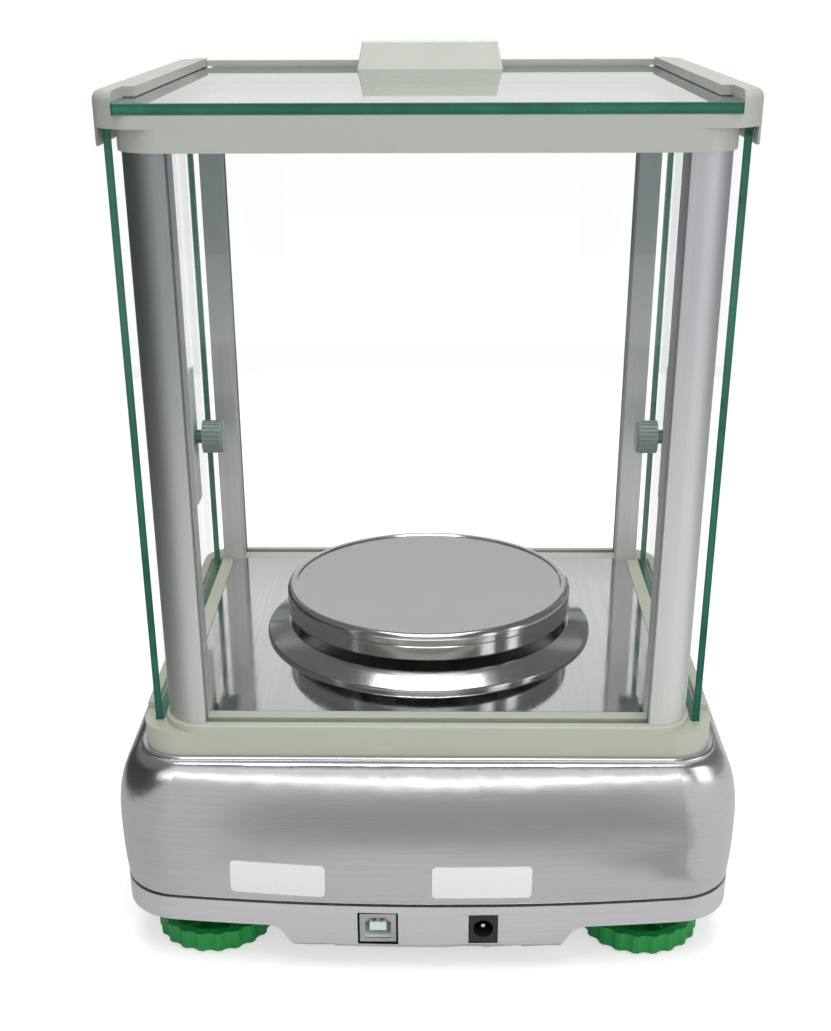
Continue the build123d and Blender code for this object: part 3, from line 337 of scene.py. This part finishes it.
looks = {
    "brushed_cover": brushed("brushed_cover", (0.64, 0.64, 0.65), rough=0.22, contrast=0.06, bump=0.04,
                             anisotropic=0.35),
    "tray_steel": brushed("tray_steel", (0.76, 0.76, 0.775), rough=0.34, contrast=0.06, bump=0.05),
    "mirror_steel": brushed("mirror_steel", (0.735, 0.715, 0.725), rough=0.07, contrast=0.03, bump=0.004,
                            top=(900.0, 3.0, 3.0), anisotropic=0.0),
    "ring_steel": spun("ring_steel", (0.49, 0.49, 0.50), rough=0.15, contrast=0.06, bump=0.02),
    "pan_steel": spun("pan_steel", (0.55, 0.545, 0.555), rough=0.15, contrast=0.015, bump=0.003),
    "frame_plastic": moulded("frame_plastic", (0.49, 0.51, 0.415), rough=0.34, mottle=0.015, specular=0.35),
    # Painted shade: a darker copy of frame_plastic for the top frame.
    "shaded_frame_plastic": moulded("shaded_frame_plastic", (0.445, 0.46, 0.42), rough=0.34, mottle=0.015, specular=0.35),
    "post_metal": satin("post_metal", (0.34, 0.37, 0.375), (0.76, 0.77, 0.74)),
    # Painted shade: a darker copy of post_metal for the front posts.
    "shaded_post_metal": satin("shaded_post_metal", (0.27, 0.30, 0.305), (0.70, 0.71, 0.69)),
    # Painted light: a paler copy of post_metal for the left rear post.
    "lit_post_metal": satin("lit_post_metal", (0.53, 0.535, 0.56), (0.76, 0.77, 0.74)),
    "clear_bumper": moulded("clear_bumper", (0.80, 0.83, 0.83), rough=0.12, coat=0.6),
    "handle_plastic": moulded("handle_plastic", (0.66, 0.69, 0.63), rough=0.36),
    "knob_plastic": moulded("knob_plastic", (0.19, 0.25, 0.225), rough=0.3),
    "wheel_green": moulded("wheel_green", (0.010, 0.32, 0.06), rough=0.26, grain=700.0, bump=0.05, coat=0.25),
    "zinc_steel": plain_metal("zinc_steel", (0.52, 0.53, 0.55), 0.32),
    "black_rubber": moulded("black_rubber", (0.022, 0.022, 0.023), rough=0.7, bump=0.3),
    "chassis_metal": moulded("chassis_metal", (0.16, 0.17, 0.18), rough=0.5, grain=900.0, bump=0.2),
    "cell_metal": plain_metal("cell_metal", (0.58, 0.59, 0.61), 0.36),
    "board_green": moulded("board_green", (0.012, 0.13, 0.055), rough=0.35, mottle=0.2),
    "lead_black": moulded("lead_black", (0.02, 0.02, 0.022), rough=0.5),
    "usb_metal": plain_metal("usb_metal", (0.52, 0.53, 0.545), 0.28),
    "usb_plastic": moulded("usb_plastic", (0.74, 0.84, 0.81), rough=0.4),
    "jack_black": moulded("jack_black", (0.014, 0.016, 0.018), rough=0.45, grain=1200.0, bump=0.15),
    "pin_metal": plain_metal("pin_metal", (0.80, 0.80, 0.80), 0.2),
    "sticker": paper("sticker", (0.92, 0.925, 0.91)),
    "bezel_plastic": moulded("bezel_plastic", (0.035, 0.042, 0.052), rough=0.5, grain=1100.0, bump=0.3,
                             mottle=0.1),
    "window_plastic": moulded("window_plastic", (0.10, 0.14, 0.11), rough=0.08, bump=0.0, coat=0.8),
    "display_plastic": moulded("display_plastic", (0.22, 0.28, 0.22), rough=0.4),
    "key_plastic": moulded("key_plastic", (0.55, 0.57, 0.58), rough=0.45, grain=1300.0, bump=0.12),
    "level_metal": plain_metal("level_metal", (0.62, 0.62, 0.62), 0.25),
    "vial_green": moulded("vial_green", (0.36, 0.62, 0.10), rough=0.06, bump=0.0, mottle=0.12, coat=1.0),
    "ink": moulded("ink", (0.018, 0.02, 0.022), rough=0.3),
    "bubble": moulded("bubble", (0.75, 0.85, 0.55), rough=0.05, coat=1.0),
    "gold": plain_metal("gold", (0.83, 0.62, 0.25), 0.22),
}
pane_axis = {"left_door_glass": "X", "right_door_glass": "X", "lid_glass": "Z", "rear_glass": "Y",
             "front_glass": "Y"}

# Pieces given lit or shaded copies of their slot's material: painted shade on the top frame and the front posts,
# painted light on the left rear post
lit_or_shaded_look = {"top_frame": "shaded_frame_plastic", "rear_post_left": "lit_post_metal",
            "front_post_left": "shaded_post_metal", "front_post_right": "shaded_post_metal"}
panes = {}
for name, axis in pane_axis.items():
    low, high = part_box(name)
    column = "XYZ".index(axis)
    panes[name] = pane(name + "_pane", axis, low[column], high[column], glass_glance[name])


def dress(obj, look):
    obj.data.materials.clear()
    obj.data.materials.append(look)


for row in frame["record"]["subparts"]:
    name = row["node"]
    look = panes[name] if name in panes else looks[lit_or_shaded_look.get(name, row["material_slot"])]
    dress(nodes[name], look)


# Small printed and moulded details, each a mesh that rides on a body

def mesh_piece(name, body, faces, thickness, look):
    # faces are (points, outward direction); each becomes a thin prism.
    made = bmesh.new()
    for points, out in faces:
        lower = [made.verts.new(p) for p in points]
        upper = [made.verts.new(p + out * thickness) for p in points]
        made.faces.new(upper)
        made.faces.new(list(reversed(lower)))
        for index in range(len(points)):
            after = (index + 1) % len(points)
            made.faces.new((lower[index], lower[after], upper[after], upper[index]))
    mesh = bpy.data.meshes.new(name)
    made.to_mesh(mesh)
    made.free()
    obj = bpy.data.objects.new(name, mesh)
    bpy.context.scene.collection.objects.link(obj)
    dress(obj, look)
    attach(obj, body)
    return obj


press_axis = next(Vector(j["axis"]) for j in frame["joints"] if j["name"] == "power_key_press")
sideways = Vector((1, 0, 0))
panel_out = -press_axis.normalized()
panel_up = panel_out.cross(sideways)


def reach_along(node, direction):
    values = [v.co.dot(direction) for v in nodes[node].data.vertices]
    return min(values), max(values)


def panel_points(node, flat_points):
    # Points given round the middle of a node's top face, in metres across and up the slope.
    low_x, high_x = reach_along(node, sideways)
    low_up, high_up = reach_along(node, panel_up)
    top = reach_along(node, panel_out)[1]
    middle = sideways * (low_x + high_x) / 2 + panel_up * (low_up + high_up) / 2 + panel_out * top
    return [middle + sideways * x + panel_up * y for x, y in flat_points]


def bar(x, y, length, width, turn=0.0):
    # A bar with pointed ends, like one segment of a digit.
    half = length / 2
    wide = width / 2
    outline = [(-half, 0), (wide - half, -wide), (half - wide, -wide), (half, 0), (half - wide, wide),
               (wide - half, wide)]
    c, s = math.cos(turn), math.sin(turn)
    return [(x + c * px - s * py, y + s * px + c * py) for px, py in outline]


def arc_strip(x, y, radius, width, start, stop, steps=20):
    # Quads along an arc, each drawn as a face of its own.
    quads = []
    for index in range(steps):
        a = start + (stop - start) * index / steps
        b = start + (stop - start) * (index + 1) / steps
        inner, outer = radius - width / 2, radius + width / 2
        quads.append([(x + inner * math.cos(a), y + inner * math.sin(a)),
                      (x + outer * math.cos(a), y + outer * math.sin(a)),
                      (x + outer * math.cos(b), y + outer * math.sin(b)),
                      (x + inner * math.cos(b), y + inner * math.sin(b))])
    return quads


def counter_clockwise(points):
    area = sum(points[i - 1][0] * points[i][1] - points[i][0] * points[i - 1][1] for i in range(len(points)))
    return points if area > 0 else points[::-1]


# The empty pan reads 0.000, so every digit is a nought.
nought_count = 4
digit_width = 8.5 * mm
digit_height = 15.0 * mm
digit_pitch = 12.5 * mm
segment_width = 1.6 * mm
digit_lean = 0.12
print_depth = 0.06 * mm
icon_width = 0.8 * mm


def nought_faces(x):
    # Six segments: clockwise from the top one, each with its place, length and turn.
    half = digit_width / 2
    upper = digit_height / 2
    upright = math.pi / 2
    segments = [(0, upper, digit_width, 0), (half, upper / 2, upper, upright),
                (half, -upper / 2, upper, upright), (0, -upper, digit_width, 0),
                (-half, -upper / 2, upper, upright), (-half, upper / 2, upper, upright)]
    faces = []
    for px, py, length, turn in segments:
        points = bar(px, py, length - 0.25 * segment_width, segment_width, turn)
        faces.append([(x + qx + digit_lean * qy, qy) for qx, qy in points])
    return faces


def make_readout():
    start = -(nought_count - 1) * digit_pitch / 2
    flat = []
    for index in range(nought_count):
        flat += nought_faces(start + index * digit_pitch)
    dot_x = start + digit_pitch / 2
    dot_y = -digit_height / 2
    half = segment_width / 2
    flat.append([(dot_x - half, dot_y - half), (dot_x + half, dot_y - half), (dot_x + half, dot_y + half),
                 (dot_x - half, dot_y + half)])
    faces = [(panel_points("display_window", counter_clockwise(f)), panel_out) for f in flat]
    mesh_piece("readout_digits", "case", faces, print_depth, looks["ink"])


def icon_faces(name):
    # A broken ring with a stroke, three lines, an arrow on a line, and a ring between two wedges.
    w = icon_width
    if name == "power_key":
        ring = arc_strip(0, 0, 2.3 * mm, w, math.radians(130), math.radians(410))
        return ring + [bar(0, 1.9 * mm, 3.4 * mm, w, math.pi / 2)]
    if name == "mode_key":
        return [bar(0, row * 1.9 * mm, 6 * mm, w) for row in (-1, 0, 1)]
    if name == "print_key":
        arrow = [(-1.8 * mm, 0.2 * mm), (0, -1.9 * mm), (1.8 * mm, 0.2 * mm)]
        return [arrow, bar(0, 1.2 * mm, 3.2 * mm, w, math.pi / 2), bar(0, -2.9 * mm, 6 * mm, w)]
    left = [(-6.4 * mm, 1.4 * mm), (-6.4 * mm, -1.4 * mm), (-4.2 * mm, 0)]
    right = [(6.4 * mm, 1.4 * mm), (6.4 * mm, -1.4 * mm), (4.2 * mm, 0)]
    return arc_strip(0, 0, 2.1 * mm, w, 0, 2 * math.pi, 28) + [left, right]


def make_icons():
    for key in ("power_key", "mode_key", "print_key", "tare_key"):
        faces = [(panel_points(key, counter_clockwise(f)), panel_out) for f in icon_faces(key)]
        mesh_piece(key + "_icon", key, faces, print_depth, looks["ink"])


def make_level_marks():
    # A circle on the vial, and the bubble a little off its middle.
    low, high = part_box("level_vial")
    middle = (low + high) / 2
    circle = arc_strip(0, 0, 2.6 * mm, 0.35 * mm, 0, 2 * math.pi, 36)
    bubble = arc_strip(0.3 * mm, 0.2 * mm, 0.95 * mm, 1.88 * mm, 0, 2 * math.pi, 28)
    for name, quads, thickness, look in (("level_circle", circle, 0.04 * mm, "ink"),
                                         ("level_bubble", bubble, 0.05 * mm, "bubble")):
        faces = [([Vector((middle.x + x, middle.y + y, high.z)) for x, y in counter_clockwise(quad)],
                  Vector((0, 0, 1))) for quad in quads]
        mesh_piece(name, "case", faces, thickness, looks[look])


def make_usb_contacts():
    # Two contacts above the tongue and two below it.
    low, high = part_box("usb_shell")
    middle = (low + high) / 2
    tongue_half = 1.6 * mm
    half_width = 0.5 * mm
    back = high.y - 8.2 * mm
    front = high.y - 1.6 * mm
    faces = []
    for side in (-1, 1):
        for x in (middle.x - 1.25 * mm, middle.x + 1.25 * mm):
            z = middle.z + side * tongue_half
            points = [(x - half_width, back), (x + half_width, back), (x + half_width, front),
                      (x - half_width, front)]
            points = points if side > 0 else points[::-1]
            faces.append(([Vector((px, py, z)) for px, py in points], Vector((0, 0, side))))
    mesh_piece("usb_contacts", "case", faces, 0.12 * mm, looks["gold"])


make_readout()
make_icons()
make_level_marks()
make_usb_contacts()


# Stage

def stage_material():
    # Plain pale floor; for the camera it is lifted to white, and the object's shadow stays on it.
    # Metal mirrors a bent grey card behind the case and a dark side in it.
    made, tree, shader = material("floor")
    where = object_coords(tree)
    cloud = noise(tree, where, 3.0, 3.0)
    pale = blend_colour(tree, cloud, grey(floor_grey * 0.985), grey(floor_grey))
    path = add(tree, "ShaderNodeLightPath")
    mirror = path.outputs["Is Glossy Ray"]
    parts = add(tree, "ShaderNodeSeparateXYZ", {"Vector": where})
    x, y = parts.outputs["X"], parts.outputs["Y"]
    bent = maths(tree, "ADD", y, maths(tree, "MULTIPLY", maths(tree, "MULTIPLY", x, x), card_bend))
    card = maths(tree, "MULTIPLY", band(tree, bent, (0.230, 0.238), (0.40, 0.70), smooth=True),
                 band(tree, x, (-0.125, -0.10), (0.07, 0.10), smooth=True))
    dark = maths(tree, "MAXIMUM", spread(tree, x, 0.205, 0.265, 0, 1, smooth=True),
                 spread(tree, x, 0.07, 0.15, 0, side_shade, smooth=True))
    pale = blend_colour(tree, maths(tree, "MULTIPLY", card, mirror), pale, grey(card_grey))
    pale = blend_colour(tree, maths(tree, "MULTIPLY", dark, mirror), pale, grey(room_dark))
    wire(tree, shader, colour=pale)
    shader.inputs["Roughness"].default_value = 0.9
    shader.inputs["Specular IOR Level"].default_value = 0.1
    seen = maths(tree, "MAXIMUM", path.outputs["Is Camera Ray"], path.outputs["Is Transmission Ray"])
    glow = maths(tree, "MULTIPLY", seen, floor_lift)
    lift = add(tree, "ShaderNodeEmission", {"Color": grey(1), "Strength": glow})
    both = add(tree, "ShaderNodeAddShader", {0: shader.outputs[0], 1: lift.outputs[0]})
    tree.links.new(both.outputs[0], tree.nodes["Material Output"].inputs["Surface"])
    return made


def make_floor():
    mesh = bpy.data.meshes.new("floor")
    ring = [(floor_reach * math.cos(2 * math.pi * index / floor_sides),
             floor_reach * math.sin(2 * math.pi * index / floor_sides), 0) for index in range(floor_sides)]
    mesh.from_pydata(ring, [], [list(range(floor_sides))])
    floor = bpy.data.objects.new("floor", mesh)
    bpy.context.scene.collection.objects.link(floor)
    dress(floor, stage_material())
    floor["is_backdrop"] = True


def make_world():
    # White for the camera and through the glass. Metal and glass mirror a room instead: white, dark on
    # one side and grey on the other, with a dim band ahead of the case, dark flanks and a dark ceiling.
    world = bpy.data.worlds.new("studio")
    bpy.context.scene.world = world
    world.use_nodes = True
    tree = world.node_tree
    back = tree.nodes["Background"]
    back.inputs["Strength"].default_value = 1.0
    ways = add(tree, "ShaderNodeTexCoord").outputs["Generated"]
    parts = add(tree, "ShaderNodeSeparateXYZ", {"Vector": ways})
    x, y, z = (parts.outputs[index] for index in range(3))
    low = spread(tree, z, 0.45, 0.75, 1, 0, smooth=True)
    lean = spread(tree, z, 0.06, 0.2, 0.28, 0, smooth=True)
    leant = maths(tree, "SUBTRACT", x, maths(tree, "MULTIPLY", y, lean))
    dark_side = maths(tree, "MULTIPLY", spread(tree, leant, 0.40, 0.62, 0, 1, smooth=True), low)
    grey_side = maths(tree, "MULTIPLY", spread(tree, x, -0.45, -0.28, 1, 0, smooth=True), low)
    ahead = maths(tree, "MULTIPLY", spread(tree, y, -0.85, -0.7, 1, 0, smooth=True),
                  band(tree, z, (0.20, 0.22), (0.36, 0.37)))
    high = spread(tree, z, 0.25, 0.75, 0, 1, smooth=True)
    aside = spread(tree, maths(tree, "ABSOLUTE", x), 0.22, 0.5, 0, 1, smooth=True)
    flank = maths(tree, "MULTIPLY", aside, spread(tree, z, 0.08, 0.32, 0, 1, smooth=True))
    mirrored = blend_colour(tree, grey_side, rgba(room_white), grey(room_grey))
    mirrored = blend_colour(tree, dark_side, mirrored, grey(room_dark))
    mirrored = blend_colour(tree, maths(tree, "MULTIPLY", ahead, ahead_strength), mirrored, grey(0))
    mirrored = blend_colour(tree, maths(tree, "MAXIMUM", high, flank), mirrored, grey(ceiling_dark))
    path = add(tree, "ShaderNodeLightPath")
    seen = maths(tree, "MAXIMUM", path.outputs["Is Camera Ray"], path.outputs["Is Transmission Ray"])
    plain = blend_colour(tree, seen, grey(world_diffuse), grey(1))
    tree.links.new(blend_colour(tree, path.outputs["Is Glossy Ray"], plain, mirrored), back.inputs["Color"])


def make_lamp(name, power, place, target, size, mirrored):
    data = bpy.data.lights.new(name, "AREA")
    data.shape = "RECTANGLE"
    data.size, data.size_y = size
    data.energy = power
    lamp = bpy.data.objects.new(name, data)
    lamp.location = place
    direction = Vector(target) - Vector(place)
    lamp.rotation_euler = direction.to_track_quat("-Z", "Y").to_euler()
    lamp.visible_glossy = mirrored
    bpy.context.scene.collection.objects.link(lamp)


def make_camera():
    data = bpy.data.cameras.new("camera")
    data.sensor_width = sensor
    data.lens = focal_pixels / image_height * sensor
    data.shift_y = axis_drop / image_height
    camera = bpy.data.objects.new("camera", data)
    right = camera_forward.cross(Vector((0, 0, 1))).normalized()
    up = right.cross(camera_forward)
    turned = right * math.cos(camera_roll) + up * math.sin(camera_roll)
    up = up * math.cos(camera_roll) - right * math.sin(camera_roll)
    axes = Matrix((turned, up, -camera_forward)).transposed()
    camera.matrix_world = Matrix.Translation(camera_place) @ axes.to_4x4()
    bpy.context.scene.collection.objects.link(camera)
    bpy.context.scene.camera = camera


make_floor()
make_world()
for name, settings in lamps.items():
    make_lamp(name, *settings)
make_camera()
bpy.context.scene.view_settings.view_transform = "Standard"

low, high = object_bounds()
